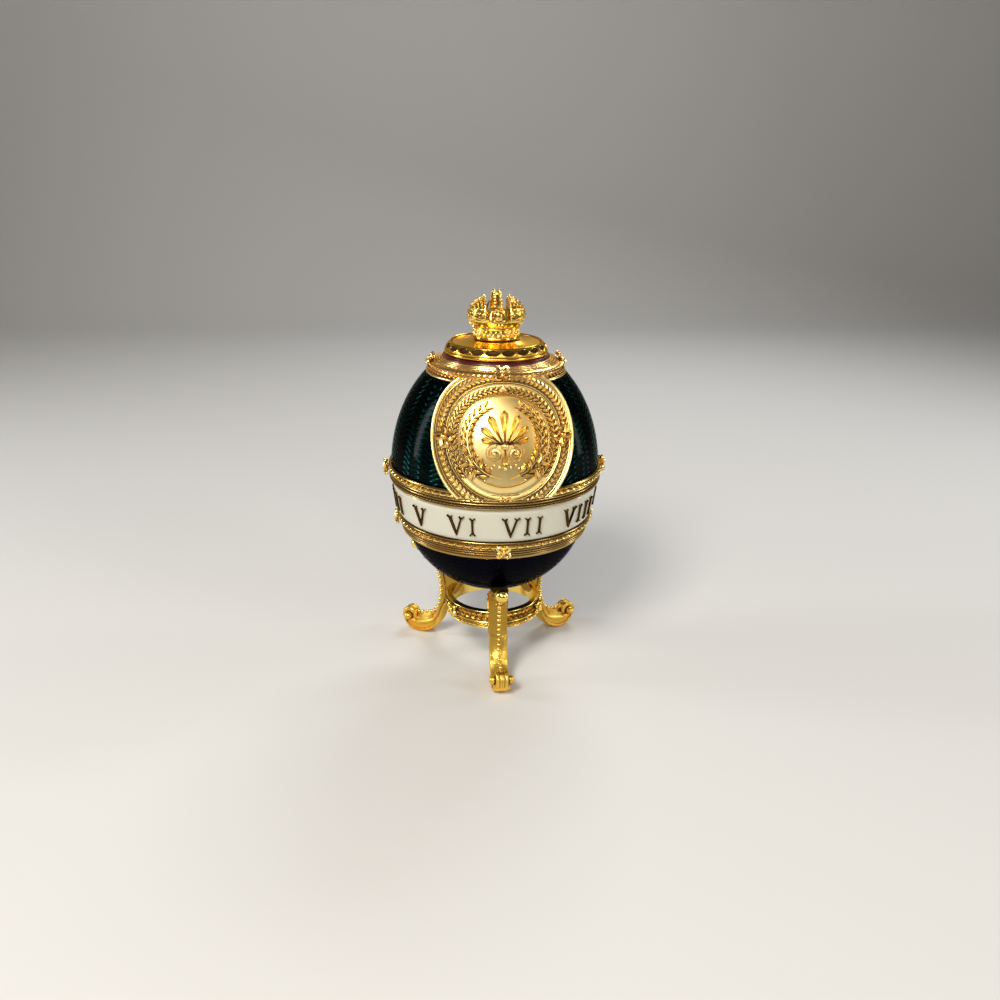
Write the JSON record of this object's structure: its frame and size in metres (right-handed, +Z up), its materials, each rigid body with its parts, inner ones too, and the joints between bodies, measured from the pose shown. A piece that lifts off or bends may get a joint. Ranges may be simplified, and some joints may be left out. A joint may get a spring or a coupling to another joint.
{
  "type": "enamel egg clock",
  "caption": "Enamelled egg on a gilt tripod stand, with a white hour ring round its waist, a gilt plaque on the front and a lid topped by a crown that lifts off.",
  "frame": {"origin": "On the ground, on the vertical axis that the egg is turned about, midway between the three feet.", "axes": "+Z up. -Y is the front, with the plaque and one leg. +X is to the right of someone facing the front."},
  "size_m": [0.0626, 0.0626, 0.1048],
  "materials": {
    "gilt_metal": "satin",
    "pale_gilt_metal": "satin",
    "blue_enamel": "gloss",
    "green_enamel": "gloss",
    "white_enamel": "gloss"
  },
  "bodies": {
    "root": {"tripod_stand": "gilt_metal", "lower_shell": "blue_enamel", "lower_band": "gilt_metal", "dial_ring": "white_enamel", "upper_band": "pale_gilt_metal", "upper_shell": "green_enamel", "medallion": "pale_gilt_metal", "collar": "pale_gilt_metal", "lid": "gilt_metal", "crown": "gilt_metal"}
  },
  "joints": []
}
